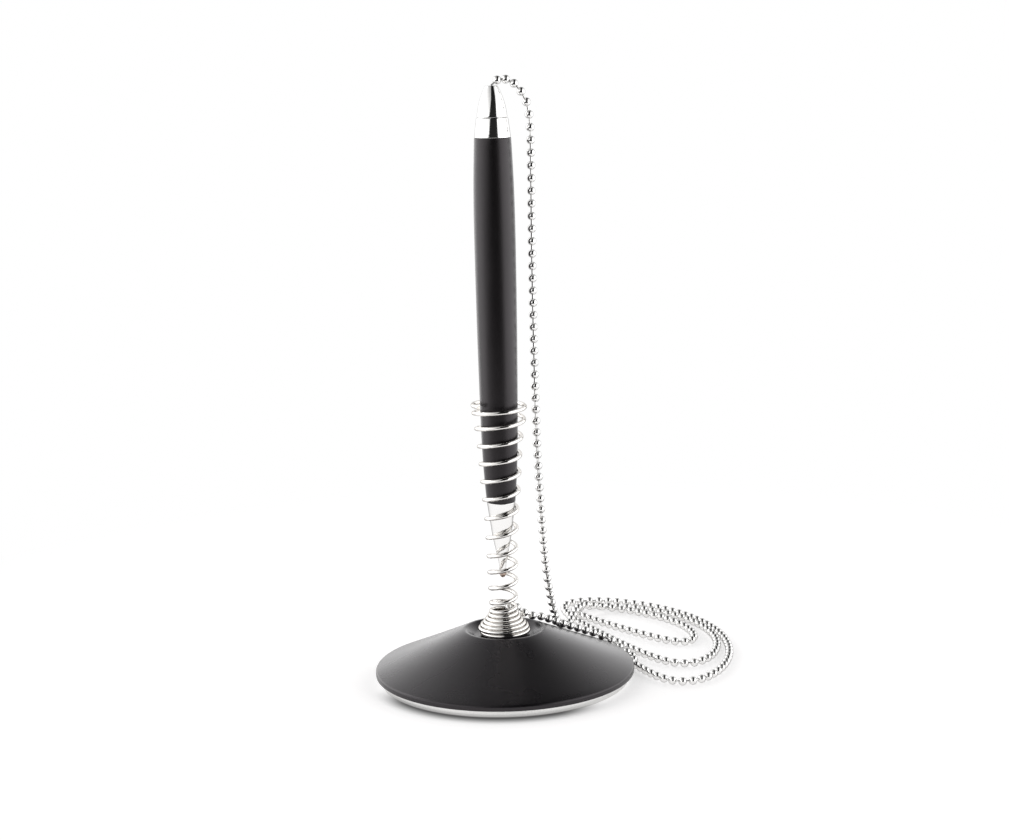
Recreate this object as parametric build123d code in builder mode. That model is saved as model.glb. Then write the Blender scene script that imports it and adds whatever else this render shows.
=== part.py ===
"""Counter pen standing in a spring holder on a weighted round base, tied to it by a ball chain.

Millimetres, +Z up. The origin is on the table, under the middle of the base.
The photograph's view looks along +Y, with +X to the right.
"""

import math
import os

from build123d import *

os.makedirs("parts", exist_ok=True)

# Base
BASE_D = 75.0
CREST_D = 22.8
DOME_HEIGHT = 15.6
DOME_BULGE = -0.1
CREST_ROUND = 1.3
RIM_UNDERCUT = 1.3
RIM_DROP = 0.4
RIM_BAND = 1.5
RIM_ROUND = 0.8
RIM_LAND = 3.2
SHELL_WALL = 2.0
DISH_D = 17.4
DISH_DEPTH = 1.9
DISH_FLOOR = 2.0

# Weight and closing parts under the dome
PLATE_INSET = 0.3
PLATE_THICKNESS = 2.0
PLATE_LIP_HEIGHT = 0.8
PLATE_LIP_WIDTH = 1.6
PLATE_CHAMFER = 0.3
PAD_D = 60.0
PAD_THICKNESS = 1.0
PAD_PROUD = 0.3
BALLAST_D = 50.0
BALLAST_THICKNESS = 4.0
BALLAST_BORE_D = 9.0
BALLAST_CHAMFER = 0.5
SCREW_COUNT = 3
SCREW_CIRCLE_D = 38.0
SCREW_D = 2.6
SCREW_HEAD_D = 4.8
SCREW_HEAD_HEIGHT = 1.1
SCREW_GRIP = 3.0
BOSS_D = 6.4

# Clamp that holds the spring in the dish
CLAMP_SCREW_D = 3.0
CLAMP_HEAD_D = 5.6
CLAMP_HEAD_HEIGHT = 1.8
CLAMP_HEAD_CHAMFER = 0.6
CLAMP_SLOT_WIDTH = 0.8
CLAMP_SLOT_DEPTH = 0.9
CLAMP_SCREW_PAST = 0.6
CLAMP_NUT_FLATS = 5.5
CLAMP_NUT_HEIGHT = 2.4
CLAMP_WASHER_D = 11.0
CLAMP_WASHER_THICKNESS = 0.8

# Spring holder, mean diameters
WIRE_D = 1.2
WIRE_SIDES = 6
SPRING_SPANS = 77
SPRING_STEP = 0.02
SPRING_START = 90.0
TURNS_APART = 4.8
CLAMP_RING_D = 8.0
FOOT_RING_D = 14.5
NECK_D = 7.3
CLAMP_TURNS = 0.5
SPREAD_TURNS = 1.0
CONE_TURNS = 3
FOOT_RISE = 2.0
CONE_RISE = 1.2
NECK_RISE = 1.85
RAMP_RISE = 2.7
OPEN_TURNS = 10
OPEN_PITCH = 5.15
LAST_RISE = 4.2
END_TURNS = 0.75
END_RISE = 1.2
MOUTH_FLARE = 1.25
PEN_GAP = 0.32

# Pen, from the writing tip upwards
TIP_ABOVE_DISH = 16.8
BALL_D = 0.8
BALL_SHOWN = 0.24
TIP_END_D = 1.1
TIP_D = 1.4
TIP_REACH = 4.1
TIP_SHOULDER_D = 2.4
TIP_SHOULDER_LENGTH = 2.0
TIP_TAPER_LENGTH = 2.0
TIP_STUB_LENGTH = 5.5
INK_HOLE_D = 0.5
NOSE_END_D = 1.9
NOSE_WAIST_D = 5.5
NOSE_WAIST = 8.4
NOSE_LENGTH = 18.4
NOSE_SPIGOT_LENGTH = 10.0
GRIP_D = 8.2
GRIP_TOP_D = 10.5
GRIP_LENGTH = 21.4
GRIP_BORE_D = 6.0
GRIP_BORE_LENGTH = 27.4
BARREL_D = 11.6
BARREL_TOP_D = 10.3
BARREL_LENGTH = 103.4
BARREL_BELLY = 77.4
BARREL_BORE_D = 8.0
BORE_TAPER = 3.0
REFILL_D = 3.0
REFILL_BORE_D = 2.2
INK_LENGTH = 68.0
COLLAR_TOP_D = 8.9
COLLAR_HEIGHT = 5.5
COLLAR_SPIGOT_LENGTH = 10.0
COLLAR_FLOOR = 1.6
COLLAR_BORE_D = 5.4
COLLAR_EDGE = 0.25
TAIL_D = 8.5
TAIL_TIP_D = 3.4
TAIL_BULGE = 0.5
TAIL_HEIGHT = 8.7
TAIL_TIP_ROUND = 0.35
TAIL_SPIGOT_LENGTH = 5.0
TAIL_CAVITY_D = 3.0
TAIL_HOLE_D = 1.2
TAIL_TIP_WALL = 1.6

# Ball chain
BEAD_D = 2.4
CHAIN_LINK_D = 0.7
CHAIN_SIDES = 8
ANCHOR_ANGLE = 35.0
ANCHOR_REACH = 0.45
BEAD_INSET = 1.5
LOOP_EGG_SHARE = 0.25
LOOP_FIRST_TURN = 0.2
LOOP_LAST_TURN = 2.62
LOOP_STEPS = 20
LOOP_STEP = 0.002
LOOP_LEAD = 3.8
LOOPS_APART = 12.0
DROP_LEAD = 12.0
BEND_SHARE = 0.45

# Points per turn on which a tube's gap to itself is measured
GAP_POINTS = 40

# Fits
FIT = 0.05
SEAT_GAP = 0.05
HOLE_GAP = 0.1

# Heights that follow from the sizes above
plate_top = PAD_PROUD + PLATE_THICKNESS
pad_seat = PAD_THICKNESS
rim_foot = BASE_D / 2 - RIM_UNDERCUT
plate_r = rim_foot - PLATE_INSET
rim_widest = plate_top + RIM_DROP
rim_shoulder = rim_widest + RIM_BAND
ballast_top = plate_top + BALLAST_THICKNESS
dish_z = DOME_HEIGHT - DISH_DEPTH
dish_under = dish_z - DISH_FLOOR
dome_slope = math.atan2(DOME_HEIGHT - rim_shoulder, (BASE_D - CREST_D) / 2)
rim_inside = rim_foot - RIM_LAND
tip_z = dish_z + TIP_ABOVE_DISH
nose_end_z = tip_z + TIP_REACH
barrel_z = nose_end_z + NOSE_LENGTH
barrel_top = barrel_z + BARREL_LENGTH
tail_z = barrel_top + COLLAR_HEIGHT
tail_top = tail_z + TAIL_HEIGHT
table_bead_z = BEAD_D / 2


def dome_line(radius):
    """Height of the straight slope of the dome, without its bulge, at a radius."""
    return DOME_HEIGHT - (radius - CREST_D / 2) * math.tan(dome_slope)


def inside_line(radius):
    """Height of the dome's inner face at a radius."""
    return dome_line(radius) - SHELL_WALL / math.cos(dome_slope)


def bowed(start, end, bulge):
    """Middle point of an arc that stands out from the chord, to the right of its direction, by a bulge."""
    along = Vector(*end) - Vector(*start)
    across = Vector(along.Y, -along.X).normalized()
    return (Vector(*start) + Vector(*end)) * 0.5 + across * bulge


# The black dome, hollow, with a dish at the top for the spring and bosses inside for the screws
inner_reach = CREST_D / 2 + (DOME_HEIGHT - dish_under) / math.tan(dome_slope)
inner_crest = inner_reach - SHELL_WALL / math.sin(dome_slope)
with BuildPart() as cavity:
    with BuildSketch(Plane.XZ):
        with BuildLine():
            Polyline(
                (0, plate_top),
                (rim_inside, plate_top),
                (rim_inside, inside_line(rim_inside)),
                (inner_crest, dish_under),
                (0, dish_under),
                close=True,
            )
        make_face()
    revolve(axis=Axis.Z)
    with BuildSketch(Plane.XY.offset(ballast_top)):
        with PolarLocations(SCREW_CIRCLE_D / 2, SCREW_COUNT):
            Circle(BOSS_D / 2)
    extrude(amount=DOME_HEIGHT, mode=Mode.SUBTRACT)

rim_low = (rim_foot, plate_top)
rim_wide = (BASE_D / 2, rim_widest)
shoulder = (BASE_D / 2, rim_shoulder)
crest = (CREST_D / 2, DOME_HEIGHT)
with BuildPart() as base_shell:
    with BuildSketch(Plane.XZ) as dome_profile:
        with BuildLine():
            Polyline((0, plate_top), rim_low, rim_wide, shoulder)
            ThreePointArc(shoulder, bowed(shoulder, crest, DOME_BULGE), crest)
            Polyline(crest, (DISH_D / 2, dish_z), (0, dish_z), (0, plate_top))
        make_face()
        rim_corners = dome_profile.vertices().group_by(Axis.X)[-1].sort_by(Axis.Y)
        fillet(rim_corners[-1], RIM_ROUND)
        fillet(dome_profile.vertices().sort_by(Axis.Y)[-1], CREST_ROUND)
    revolve(axis=Axis.Z)
    add(cavity.part, mode=Mode.SUBTRACT)
    with Locations((0, 0, dish_z)):
        Hole(CLAMP_SCREW_D / 2 + HOLE_GAP, depth=DISH_FLOOR)
    with BuildSketch(Plane.XY.offset(ballast_top)):
        with PolarLocations(SCREW_CIRCLE_D / 2, SCREW_COUNT):
            Circle(SCREW_D / 2 + FIT)
    extrude(amount=SCREW_GRIP, mode=Mode.SUBTRACT)

# Bright plate that closes the bottom, with a lip inside the dome and a recess for the pad
with BuildPart() as base_plate:
    with BuildSketch(Plane.XY.offset(PAD_PROUD)):
        Circle(plate_r)
    extrude(amount=PLATE_THICKNESS)
    chamfer(base_plate.edges().group_by(Axis.Z)[0], PLATE_CHAMFER)
    with BuildSketch(Plane.XY.offset(plate_top)):
        Circle(rim_inside - HOLE_GAP)
        Circle(rim_inside - HOLE_GAP - PLATE_LIP_WIDTH, mode=Mode.SUBTRACT)
    extrude(amount=PLATE_LIP_HEIGHT)
    with BuildSketch(Plane.XY.offset(PAD_PROUD)):
        Circle(PAD_D / 2 + HOLE_GAP)
    extrude(amount=pad_seat - PAD_PROUD, mode=Mode.SUBTRACT)
    with Locations(Plane.XY.offset(pad_seat).rotated((180, 0, 0))):
        with PolarLocations(SCREW_CIRCLE_D / 2, SCREW_COUNT):
            CounterSinkHole(SCREW_D / 2 + HOLE_GAP, SCREW_HEAD_D / 2 + HOLE_GAP)

with BuildPart() as foot_pad:
    Cylinder(PAD_D / 2, PAD_THICKNESS, align=(Align.CENTER, Align.CENTER, Align.MIN))

with BuildPart() as ballast_disc:
    with BuildSketch(Plane.XY.offset(plate_top)):
        Circle(BALLAST_D / 2)
        Circle(BALLAST_BORE_D / 2, mode=Mode.SUBTRACT)
        with PolarLocations(SCREW_CIRCLE_D / 2, SCREW_COUNT):
            Circle(SCREW_D / 2 + HOLE_GAP, mode=Mode.SUBTRACT)
    extrude(amount=BALLAST_THICKNESS)
    rims = ballast_disc.edges().filter_by(GeomType.CIRCLE).sort_by(SortBy.RADIUS)[-2:]
    chamfer(rims, BALLAST_CHAMFER)

# Countersunk screws through plate and ballast into the bosses of the dome
screw_top = ballast_top + SCREW_GRIP - HOLE_GAP
with BuildPart() as plate_screws:
    with BuildSketch(Plane.XY.offset(pad_seat)):
        with PolarLocations(SCREW_CIRCLE_D / 2, SCREW_COUNT):
            Circle(SCREW_D / 2)
    extrude(amount=screw_top - pad_seat)
    with PolarLocations(SCREW_CIRCLE_D / 2, SCREW_COUNT):
        with Locations((0, 0, pad_seat)):
            Cone(
                SCREW_HEAD_D / 2,
                SCREW_D / 2,
                SCREW_HEAD_HEIGHT,
                align=(Align.CENTER, Align.CENTER, Align.MIN),
            )

# Washer, screw and nut that clamp the spring's inner ring to the dish
washer_z = dish_z + WIRE_D + 2 * SEAT_GAP
head_z = washer_z + CLAMP_WASHER_THICKNESS
nut_z = dish_under - CLAMP_NUT_HEIGHT
with BuildPart() as clamp_washer:
    with BuildSketch(Plane.XY.offset(washer_z)):
        Circle(CLAMP_WASHER_D / 2)
        Circle(CLAMP_SCREW_D / 2 + HOLE_GAP, mode=Mode.SUBTRACT)
    extrude(amount=CLAMP_WASHER_THICKNESS)

with BuildPart() as clamp_screw:
    with BuildSketch(Plane.XY.offset(head_z)):
        Circle(CLAMP_HEAD_D / 2)
    extrude(amount=CLAMP_HEAD_HEIGHT)
    chamfer(clamp_screw.edges().group_by(Axis.Z)[-1], CLAMP_HEAD_CHAMFER)
    with BuildSketch(Plane.XY.offset(head_z)):
        Circle(CLAMP_SCREW_D / 2)
    extrude(amount=nut_z - CLAMP_SCREW_PAST - head_z)
    with BuildSketch(Plane.XY.offset(head_z + CLAMP_HEAD_HEIGHT)):
        Rectangle(CLAMP_HEAD_D, CLAMP_SLOT_WIDTH)
    extrude(amount=-CLAMP_SLOT_DEPTH, mode=Mode.SUBTRACT)

with BuildPart() as clamp_nut:
    with BuildSketch(Plane.XY.offset(nut_z)):
        RegularPolygon(CLAMP_NUT_FLATS / 2, 6, major_radius=False)
        Circle(CLAMP_SCREW_D / 2 + FIT, mode=Mode.SUBTRACT)
    extrude(amount=CLAMP_NUT_HEIGHT)

# Writing end of the pen: refill tip with its ball, refill tube and ink
ball_z = tip_z + BALL_D / 2
tip_end_z = tip_z + BALL_SHOWN
shoulder_z = nose_end_z + TIP_TAPER_LENGTH + TIP_D
tube_z = shoulder_z + TIP_SHOULDER_LENGTH
stub_z = tube_z + TIP_STUB_LENGTH
refill_top = barrel_top - COLLAR_SPIGOT_LENGTH
stub_r = REFILL_BORE_D / 2 - FIT
with BuildPart() as refill_tip:
    with BuildSketch(Plane.XZ):
        with BuildLine():
            Polyline(
                (0, tip_end_z),
                (TIP_END_D / 2, tip_end_z),
                (TIP_D / 2, tip_z + TIP_REACH / 2),
                (TIP_D / 2, nose_end_z + TIP_D),
                (TIP_SHOULDER_D / 2, shoulder_z),
                (TIP_SHOULDER_D / 2, tube_z),
                (stub_r, tube_z),
                (stub_r, stub_z),
                (0, stub_z),
                close=True,
            )
        make_face()
    revolve(axis=Axis.Z)
    with Locations((0, 0, stub_z)):
        Hole(INK_HOLE_D / 2, depth=stub_z - tip_end_z)
    with Locations((0, 0, ball_z)):
        Sphere(BALL_D / 2 + FIT / 2, mode=Mode.SUBTRACT)

with BuildPart() as writing_ball:
    with Locations((0, 0, ball_z)):
        Sphere(BALL_D / 2)

with BuildPart() as refill_tube:
    with BuildSketch(Plane.XY.offset(tube_z)):
        Circle(REFILL_D / 2)
        Circle(REFILL_BORE_D / 2, mode=Mode.SUBTRACT)
    extrude(amount=refill_top - tube_z)

with BuildPart() as ink:
    with BuildSketch(Plane.XY.offset(stub_z)):
        Circle(REFILL_BORE_D / 2 - FIT)
    extrude(amount=INK_LENGTH)

# Bright nose that screws into the barrel and carries the refill on its inner shoulder
nose_end = (NOSE_END_D / 2, nose_end_z)
nose_waist = (NOSE_WAIST_D / 2, nose_end_z + NOSE_WAIST)
nose_top = (GRIP_D / 2, barrel_z)
nose_bore_r = REFILL_D / 2 + HOLE_GAP
nose_throat_r = TIP_SHOULDER_D / 2 + HOLE_GAP
nose_mouth_r = TIP_D / 2 + HOLE_GAP
spigot_top = barrel_z + NOSE_SPIGOT_LENGTH
with BuildPart() as nose_cone:
    with BuildSketch(Plane.XZ):
        with BuildLine():
            Polyline(
                (nose_mouth_r, nose_end_z),
                nose_end,
                nose_waist,
                nose_top,
                (GRIP_BORE_D / 2 - FIT, barrel_z),
                (GRIP_BORE_D / 2 - FIT, spigot_top),
                (nose_bore_r, spigot_top),
                (nose_bore_r, tube_z),
                (nose_throat_r, tube_z),
                (nose_throat_r, shoulder_z - HOLE_GAP),
                (nose_mouth_r, nose_end_z + TIP_D - HOLE_GAP),
                (nose_mouth_r, nose_end_z),
            )
        make_face()
    revolve(axis=Axis.Z)

# Barrel: slim at the grip, fullest above the middle, with a stepped bore
grip_top_z = barrel_z + GRIP_LENGTH
belly_z = barrel_z + BARREL_BELLY
bore_step = barrel_z + GRIP_BORE_LENGTH
with BuildPart() as pen_barrel:
    with BuildSketch(Plane.XZ):
        with BuildLine():
            Line((GRIP_BORE_D / 2, barrel_z), nose_top)
            belly = (BARREL_D / 2, belly_z)
            body = TangentArc(belly, (GRIP_TOP_D / 2, grip_top_z), tangent=(0, -1))
            TangentArc(body @ 1, nose_top, tangent=body % 1)
            tail = TangentArc(belly, (BARREL_TOP_D / 2, barrel_top), tangent=(0, 1))
            Polyline(
                tail @ 1,
                (BARREL_BORE_D / 2, barrel_top),
                (BARREL_BORE_D / 2, bore_step + BORE_TAPER),
                (GRIP_BORE_D / 2, bore_step),
                (GRIP_BORE_D / 2, barrel_z),
            )
        make_face()
    revolve(axis=Axis.Z)

# Bright collar, plugged into the barrel, whose floor holds the refill down
collar_floor_z = refill_top + COLLAR_FLOOR
with BuildPart() as tail_collar:
    with BuildSketch(Plane.XZ) as collar_profile:
        with BuildLine():
            Polyline(
                (0, refill_top),
                (BARREL_BORE_D / 2 - FIT, refill_top),
                (BARREL_BORE_D / 2 - FIT, barrel_top),
                (BARREL_TOP_D / 2, barrel_top),
                (COLLAR_TOP_D / 2, tail_z),
                (COLLAR_BORE_D / 2, tail_z),
                (COLLAR_BORE_D / 2, collar_floor_z),
                (0, collar_floor_z),
                close=True,
            )
        make_face()
        outer_top = collar_profile.vertices().group_by(Axis.Y)[-1].sort_by(Axis.X)[-1]
        chamfer(outer_top, COLLAR_EDGE)
    revolve(axis=Axis.Z)

# Bright tail cone with the hole that lets the chain out and keeps its last bead in
tail_low = (TAIL_D / 2, tail_z)
tail_end = (TAIL_TIP_D / 2, tail_top)
cavity_top = tail_top - TAIL_TIP_WALL
with BuildPart() as tail_cone:
    with BuildSketch(Plane.XZ) as tail_profile:
        with BuildLine():
            Polyline(
                (TAIL_CAVITY_D / 2, tail_z - TAIL_SPIGOT_LENGTH),
                (COLLAR_BORE_D / 2 - FIT, tail_z - TAIL_SPIGOT_LENGTH),
                (COLLAR_BORE_D / 2 - FIT, tail_z),
                tail_low,
            )
            ThreePointArc(tail_low, bowed(tail_low, tail_end, TAIL_BULGE), tail_end)
            Polyline(
                tail_end,
                (TAIL_HOLE_D / 2, tail_top),
                (TAIL_HOLE_D / 2, cavity_top),
                (TAIL_CAVITY_D / 2, cavity_top - TAIL_CAVITY_D / 2 + TAIL_HOLE_D / 2),
                (TAIL_CAVITY_D / 2, tail_z - TAIL_SPIGOT_LENGTH),
            )
        make_face()
        tip_edge = tail_profile.vertices().group_by(Axis.Y)[-1].sort_by(Axis.X)[-1]
        fillet(tip_edge, TAIL_TIP_ROUND)
    revolve(axis=Axis.Z)


# The spring: one wire from the clamp ring, through the close cone and the open turns, to the mouth
def between(value, stations):
    """Straight-line interpolation in a list of (position, value) pairs."""
    for (a, low), (b, high) in zip(stations, stations[1:]):
        if value <= b:
            return low + (high - low) * max(value - a, 0) / (b - a)
    return stations[-1][1]


pen_outline = [
    (tip_z, BALL_D / 2),
    (nose_end_z, NOSE_END_D / 2),
    (nose_end_z + NOSE_WAIST, NOSE_WAIST_D / 2),
    (barrel_z, GRIP_D / 2),
    (grip_top_z, GRIP_TOP_D / 2),
    (belly_z, BARREL_D / 2),
]
wire_z = dish_z + SEAT_GAP + WIRE_D / 2
foot_turn = CLAMP_TURNS + SPREAD_TURNS
cone_turn = foot_turn + 1
neck_turn = cone_turn + CONE_TURNS
ramp_turn = neck_turn + 1
open_turn = ramp_turn + 1
last_turn = open_turn + OPEN_TURNS
mouth_turn = last_turn + 1
end_turn = mouth_turn + END_TURNS
cone_top = wire_z + FOOT_RISE + CONE_TURNS * CONE_RISE
open_z = cone_top + NECK_RISE + RAMP_RISE
last_z = open_z + OPEN_TURNS * OPEN_PITCH
spring_heights = [
    (0, wire_z),
    (foot_turn, wire_z),
    (cone_turn, wire_z + FOOT_RISE),
    (neck_turn, cone_top),
    (ramp_turn, cone_top + NECK_RISE),
    (open_turn, open_z),
    (last_turn, last_z),
    (mouth_turn, last_z + LAST_RISE),
    (end_turn, last_z + LAST_RISE + END_RISE),
]
foot_radii = [
    (0, CLAMP_RING_D / 2),
    (CLAMP_TURNS, CLAMP_RING_D / 2),
    (foot_turn, FOOT_RING_D / 2),
    (cone_turn, FOOT_RING_D / 2 - PEN_GAP / 2),
    (neck_turn, NECK_D / 2),
]
mouth_flare = [(last_turn - 1, 0), (last_turn, MOUTH_FLARE / 2), (mouth_turn, MOUTH_FLARE)]


def spring_radius(turn):
    """Mean radius: the foot's own, then the neck's, then wide enough for the pen, flared at the mouth."""
    if turn <= neck_turn:
        return between(turn, foot_radii)
    pen_radius = between(between(turn, spring_heights), pen_outline)
    return max(NECK_D / 2, pen_radius + PEN_GAP + WIRE_D / 2) + between(turn, mouth_flare)


def spring_point(turn):
    """Centre of the wire after so many turns, the half turns being at the front."""
    angle = math.radians(SPRING_START) + 2 * math.pi * turn
    radius = spring_radius(turn)
    return Vector(radius * math.cos(angle), radius * math.sin(angle), between(turn, spring_heights))


def tangents(path, stops, step):
    """Unit directions of a path at its stops, from points a step before and after."""
    return [(path(s + step) - path(s - step)).normalized() for s in stops]


def biarcs(points, directions):
    """Two tangent arcs from each point to the next, inside a BuildLine block."""
    for start, end, go, arrive in zip(points, points[1:], directions, directions[1:]):
        span = end - start
        bend = 2 * (1 - go.dot(arrive))
        pull = 2 * span.dot(go + arrive)
        reach = 2 * span.dot(span) / (pull + math.sqrt(pull**2 + 4 * bend * span.dot(span)))
        middle = (start + go * reach + end - arrive * reach) * 0.5
        TangentArc(start, middle, tangent=go)
        TangentArc(middle, end, tangent=end - arrive * reach - start - go * reach)


def least_gap(path, first, last, thickness, apart):
    """Least gap of a tube to itself, measured on points, between places an arc length apart."""
    count = round((last - first) * GAP_POINTS)
    dots = [path(first + (last - first) * i / count) for i in range(count + 1)]
    run = [0.0]
    for a, b in zip(dots, dots[1:]):
        run.append(run[-1] + (b - a).length)
    pairs = ((i, j) for i in range(len(dots)) for j in range(i) if run[i] - run[j] > apart)
    return min((dots[i] - dots[j]).length for i, j in pairs) - thickness


spring_stops = [end_turn * i / SPRING_SPANS for i in range(SPRING_SPANS + 1)]
with BuildPart() as holder_spring:
    with BuildLine() as spring_line:
        spring_points = [spring_point(s) for s in spring_stops]
        biarcs(spring_points, tangents(spring_point, spring_stops, SPRING_STEP))
    with BuildSketch(Plane(spring_line.line @ 0, z_dir=spring_line.line % 0)):
        RegularPolygon(WIRE_D / 2, WIRE_SIDES)
    sweep()
spring_gap = least_gap(spring_point, 0, end_turn, WIRE_D, TURNS_APART)
print(f"holder_spring: {end_turn} turns, least gap to itself {spring_gap:.2f} mm")


# Ball chain: loops on the table by a formula, free stretches by hand-chosen points
# Each loop: centre x, centre y, half length, half width, direction of its far end in degrees
LOOPS = [
    (42.8, 52.0, 22.4, 7.8, 130.7),
    (42.5, 43.5, 34.1, 16.3, 120.1),
    (44.4, 39.9, 46.0, 18.8, 108.6),
]


def loop_point(turn):
    """Centre of the chain on the table after so many loops, each one larger than the last."""
    place = min(max(turn - 0.5, -0.5), len(LOOPS) - 0.5)
    first = min(max(int(place), 0), len(LOOPS) - 2)
    share = place - first
    x, y, length, width, lean = [a + (b - a) * share for a, b in zip(*LOOPS[first : first + 2])]
    angle = 2 * math.pi * turn
    along = length * math.cos(angle)
    across = width * (math.sin(angle) - LOOP_EGG_SHARE * math.cos(2 * angle))
    c, s = math.cos(math.radians(lean)), math.sin(math.radians(lean))
    return Vector(x + along * c + across * s, y + along * s - across * c, table_bead_z)


loop_step = (LOOP_LAST_TURN - LOOP_FIRST_TURN) / LOOP_STEPS
loop_stops = [LOOP_FIRST_TURN + loop_step * i for i in range(LOOP_STEPS + 1)]
loop_points = [loop_point(s) for s in loop_stops]
loop_ways = tangents(loop_point, loop_stops, LOOP_STEP)
loop_in = loop_points[0] - loop_ways[0] * BEAD_D
loop_out = loop_points[-1] + loop_ways[-1] * BEAD_D
with BuildPart() as chain_loops:
    with BuildLine() as loop_line:
        Line(loop_in, loop_points[0])
        biarcs(loop_points, loop_ways)
        Line(loop_points[-1], loop_out)
    with BuildSketch(Plane(loop_in, z_dir=loop_ways[0], x_dir=(0, 0, 1))):
        RegularPolygon(BEAD_D / 2, CHAIN_SIDES, rotation=180 / CHAIN_SIDES)
    sweep()
loop_gap = least_gap(loop_point, LOOP_FIRST_TURN, LOOP_LAST_TURN, BEAD_D, LOOPS_APART)
print(f"chain_loops: length {loop_line.wire().length:.0f} mm, least gap to itself {loop_gap:.2f} mm")


def bend_radii(points):
    """Radius of each arc of a route: as large as its two runs allow."""
    radii = []
    for before, corner, after in zip(points, points[1:], points[2:]):
        coming, going = corner - before, after - corner
        half_turn = math.radians(coming.get_angle(going)) / 2
        radii.append(BEND_SHARE * min(coming.length, going.length) / math.tan(half_turn))
    return radii


def report_tube(name, line, part):
    """Print a tube's length and how its volume compares with its section times its length."""
    section = math.pi * BEAD_D**2 / 4
    print(f"{name}: length {line.length:.1f} mm, volume ratio {part.volume / (section * line.length):.4f}")


# Hanging stretch, from the tail cone's hole over a small arch and down beside the pen
DROP_ROUTE = [
    (0, 0, 171.3),
    (0.4, 0.4, 173.0),
    (2.0, 2.2, 174.0),
    (4.2, 4.0, 173.4),
    (6.6, 5.5, 171.4),
    (8.6, 6.2, 168.4),
    (10.0, 6.4, 164.6),
    (10.5, 6.4, 157.5),
    (10.4, 6.5, 137),
    (10.3, 6.9, 112),
    (10.4, 7.5, 85),
    (10.8, 8.2, 61),
    (11.7, 9.0, 44),
]
drop_points = [Vector(*p) for p in DROP_ROUTE]
with BuildPart() as chain_drop:
    with BuildLine() as drop_line:
        FilletPolyline(*drop_points, radius=bend_radii(drop_points))
    with BuildSketch(Plane(drop_line.line @ 0, z_dir=drop_line.line % 0)):
        Circle(BEAD_D / 2)
    sweep()
print("chain_drop radii", [round(r, 1) for r in bend_radii(drop_points)])
report_tube("chain_drop", drop_line.wire(), chain_drop.part)

# Lead down the back of the dome and over the loops' left ends into the first loop
LEAD_ROUTE = [
    (14.0, 14.5, 19.5),
    (15.6, 20.0, 11.6),
    (16.8, 27.5, 8.3),
    (18.0, 35.2, 5.4),
    (19.6, 42.6, 3.2),
    (21.3, 49.4, 3.3),
    (22.8, 55.0, 4.4),
    (24.4, 59.8, 4.4),
    (26.3, 63.6, 3.7),
    (29.7, 66.2, 2.4),
    (33.6, 67.2, 1.5),
]
drop_way = drop_line.line % 1
lead_points = [drop_points[-1], drop_points[-1] + drop_way * DROP_LEAD]
lead_points += [Vector(*p) for p in LEAD_ROUTE] + [loop_in - loop_ways[0] * LOOP_LEAD, loop_in]
with BuildPart() as chain_lead:
    with BuildLine() as lead_line:
        FilletPolyline(*lead_points, radius=bend_radii(lead_points))
    with BuildSketch(Plane(lead_line.line @ 0, z_dir=lead_line.line % 0)):
        Circle(BEAD_D / 2)
    sweep()
print("chain_lead radii", [round(r, 1) for r in bend_radii(lead_points)])
report_tube("chain_lead", lead_line.wire(), chain_lead.part)

# Return from the last loop, up over the rim and the dome to the gap in the spring's neck
anchor_way = Vector(math.cos(math.radians(ANCHOR_ANGLE)), math.sin(math.radians(ANCHOR_ANGLE)), 0)
gap_turn = ramp_turn + 0.5 + (ANCHOR_ANGLE - SPRING_START) / 360
anchor_z = (between(gap_turn - 1, spring_heights) + between(gap_turn, spring_heights)) / 2
anchor_reach = spring_radius(gap_turn) + WIRE_D / 2 + ANCHOR_REACH
anchor = anchor_way * anchor_reach + Vector(0, 0, anchor_z)
RETURN_ROUTE = [
    (38.4, 13.2, 1.5),
    (37.0, 15.6, 2.7),
    (35.0, 17.3, 4.4),
    (32.2, 18.2, 6.2),
    (29.2, 18.4, 7.5),
    (25.7, 17.2, 8.9),
    (20.8, 14.6, 11.3),
    (16.1, 11.4, 14.0),
    (12.6, 9.2, 16.4),
    (9.6, 7.1, 18.4),
    (6.8, 4.9, 20.5),
]
return_points = [loop_out, loop_out + loop_ways[-1] * LOOP_LEAD] + [Vector(*p) for p in RETURN_ROUTE]
return_points += [anchor]
with BuildPart() as chain_return:
    with BuildLine() as return_line:
        FilletPolyline(*return_points, radius=bend_radii(return_points))
    with BuildSketch(Plane(return_line.line @ 0, z_dir=return_line.line % 0)):
        Circle(BEAD_D / 2)
    sweep()
print("chain_return radii", [round(r, 1) for r in bend_radii(return_points)])
report_tube("chain_return", return_line.wire(), chain_return.part)

# The chain's two ends: a bead held inside the spring's neck, and a bead held inside the tail cone
bead_place = anchor_way * BEAD_INSET + Vector(0, 0, anchor_z)
with BuildPart() as chain_base_end:
    with Locations(bead_place):
        Sphere(BEAD_D / 2)
    with BuildSketch(Plane(bead_place, z_dir=anchor_way)):
        Circle(CHAIN_LINK_D / 2)
    extrude(amount=anchor_reach - BEAD_INSET)

tail_bead_z = cavity_top - BEAD_D / 2 - HOLE_GAP
with BuildPart() as chain_pen_end:
    with Locations((0, 0, tail_bead_z)):
        Sphere(BEAD_D / 2)
    with BuildSketch(Plane.XY.offset(tail_bead_z)):
        Circle(CHAIN_LINK_D / 2)
    extrude(amount=tail_top - tail_bead_z)

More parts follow.
